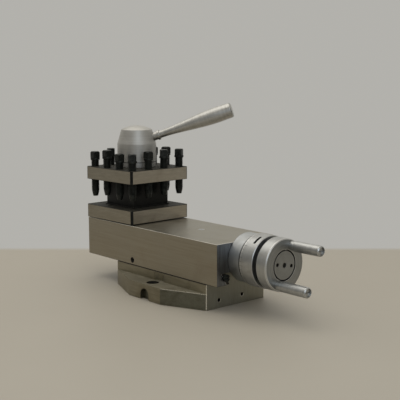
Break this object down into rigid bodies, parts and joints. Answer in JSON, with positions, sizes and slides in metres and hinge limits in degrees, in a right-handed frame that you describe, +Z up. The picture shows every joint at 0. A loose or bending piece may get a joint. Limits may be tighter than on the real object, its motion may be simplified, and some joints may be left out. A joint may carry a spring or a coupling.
{
  "type": "lathe top slide with four-way tool post",
  "caption": "Lathe compound slide carrying a square turret tool post with a clamping lever, fed by a screw with a graduated dial and a two-handled wheel.",
  "frame": {"origin": "centre of the swivel register at the base's underside", "axes": "+X along the slide towards the handwheel, +Y across it, +Z up"},
  "size_m": [0.343, 0.1514, 0.2189],
  "materials": {
    "base_iron": "milled cast iron, oiled, darkened in the recesses",
    "slide_iron": "ground cast iron with fine grinding lines and a light oil film",
    "black_steel": "black oxide steel, ground bright on its outer faces",
    "screw_steel": "black oxide screw steel",
    "satin_steel": "satin turned steel",
    "gib_steel": "ground steel",
    "spring_steel": "spring wire",
    "bronze": "machined bronze"
  },
  "bodies": {
    "base": {"base_casting": "base_iron", "feed_nut": "bronze", "feed_nut_screw": "black_steel"},
    "slide": {"top_slide": "slide_iron", "gib_strip": "gib_steel", "gib_adjust_screw_front": "black_steel", "gib_adjust_screw_rear": "black_steel", "gib_lock_screw": "black_steel", "oil_cup": "gib_steel", "tool_post_stud": "gib_steel", "index_spring": "spring_steel", "lift_spring": "spring_steel", "screw_bracket": "satin_steel", "bracket_screws": "black_steel", "thrust_washer_inner": "bronze", "thrust_washer_outer": "bronze", "bearing_retainer": "gib_steel"},
    "index_pin": {"index_pin": "gib_steel"},
    "wheel": {"feed_screw": "gib_steel", "wheel_key": "gib_steel", "handwheel": "satin_steel", "wheel_nut": "satin_steel", "dial_spring": "spring_steel", "handle_spindle_upper": "satin_steel", "handle_spindle_lower": "satin_steel"},
    "dial": {"graduated_dial": "satin_steel"},
    "grip_upper": {"handle_grip_upper": "satin_steel"},
    "grip_lower": {"handle_grip_lower": "satin_steel"},
    "post": {"tool_post_block": "black_steel", "hub_washer": "satin_steel"},
    "lever": {"lever_hub": "satin_steel", "lever_handle": "satin_steel"},
    "screw_01": {"clamp_screw_01": "screw_steel"},
    "screw_02": {"clamp_screw_02": "screw_steel"},
    "screw_03": {"clamp_screw_03": "screw_steel"},
    "screw_04": {"clamp_screw_04": "screw_steel"},
    "screw_05": {"clamp_screw_05": "screw_steel"},
    "screw_06": {"clamp_screw_06": "screw_steel"},
    "screw_07": {"clamp_screw_07": "screw_steel"},
    "screw_08": {"clamp_screw_08": "screw_steel"},
    "screw_09": {"clamp_screw_09": "screw_steel"},
    "screw_10": {"clamp_screw_10": "screw_steel"},
    "screw_11": {"clamp_screw_11": "screw_steel"},
    "screw_12": {"clamp_screw_12": "screw_steel"}
  },
  "joints": [
    {"name": "slide_travel", "type": "slide", "parent": "base", "child": "slide", "axis": [1, 0, 0], "range_m": [-0.015, 0.06]},
    {"name": "handwheel_turn", "type": "hinge", "parent": "slide", "child": "wheel", "pos_m": [0.13, 0, 0.0564], "axis": [1, 0, 0], "range_deg": [-1355, 5405]},
    {"name": "dial_zero", "type": "hinge", "parent": "wheel", "child": "dial", "pos_m": [0.125, 0, 0.0564], "axis": [1, 0, 0], "continuous": true},
    {"name": "grip_upper_spin", "type": "hinge", "parent": "wheel", "child": "grip_upper", "pos_m": [0.175, 0.0095, 0.07632], "axis": [1, 0, 0], "continuous": true},
    {"name": "grip_lower_spin", "type": "hinge", "parent": "wheel", "child": "grip_lower", "pos_m": [0.175, -0.0095, 0.03648], "axis": [1, 0, 0], "continuous": true},
    {"name": "post_index", "type": "hinge", "parent": "slide", "child": "post", "pos_m": [-0.0983, 0, 0.1], "axis": [0, 0, 1], "continuous": true},
    {"name": "lever_swing", "type": "hinge", "parent": "slide", "child": "lever", "pos_m": [-0.0983, 0, 0.16], "axis": [0, 0, 1], "range_deg": [-25, 110]},
    {"name": "index_pin_press", "type": "slide", "parent": "slide", "child": "index_pin", "axis": [0, 0, 1], "range_m": [-0.0015, 0], "stiffness_N_per_m": 1500, "springref_m": 0.002, "deforming": ["index_spring"]},
    {"name": "screw_01_advance", "type": "slide", "parent": "post", "child": "screw_01", "axis": [0, 0, 1], "range_m": [-0.0075, 0.01]},
    {"name": "screw_02_advance", "type": "slide", "parent": "post", "child": "screw_02", "axis": [0, 0, 1], "range_m": [-0.0105, 0.01]},
    {"name": "screw_03_advance", "type": "slide", "parent": "post", "child": "screw_03", "axis": [0, 0, 1], "range_m": [-0.0075, 0.01]},
    {"name": "screw_04_advance", "type": "slide", "parent": "post", "child": "screw_04", "axis": [0, 0, 1], "range_m": [-0.0085, 0.01]},
    {"name": "screw_05_advance", "type": "slide", "parent": "post", "child": "screw_05", "axis": [0, 0, 1], "range_m": [-0.0105, 0.01]},
    {"name": "screw_06_advance", "type": "slide", "parent": "post", "child": "screw_06", "axis": [0, 0, 1], "range_m": [-0.0115, 0.01]},
    {"name": "screw_07_advance", "type": "slide", "parent": "post", "child": "screw_07", "axis": [0, 0, 1], "range_m": [-0.011, 0.01]},
    {"name": "screw_08_advance", "type": "slide", "parent": "post", "child": "screw_08", "axis": [0, 0, 1], "range_m": [-0.012, 0.01]},
    {"name": "screw_09_advance", "type": "slide", "parent": "post", "child": "screw_09", "axis": [0, 0, 1], "range_m": [-0.0105, 0.01]},
    {"name": "screw_10_advance", "type": "slide", "parent": "post", "child": "screw_10", "axis": [0, 0, 1], "range_m": [-0.0095, 0.01]},
    {"name": "screw_11_advance", "type": "slide", "parent": "post", "child": "screw_11", "axis": [0, 0, 1], "range_m": [-0.0095, 0.01]},
    {"name": "screw_12_advance", "type": "slide", "parent": "post", "child": "screw_12", "axis": [0, 0, 1], "range_m": [-0.01, 0.01]}
  ],
  "couplings": [
    {"joint": "handwheel_turn", "follows": "slide_travel", "rad_per_m": 1570.8}
  ]
}
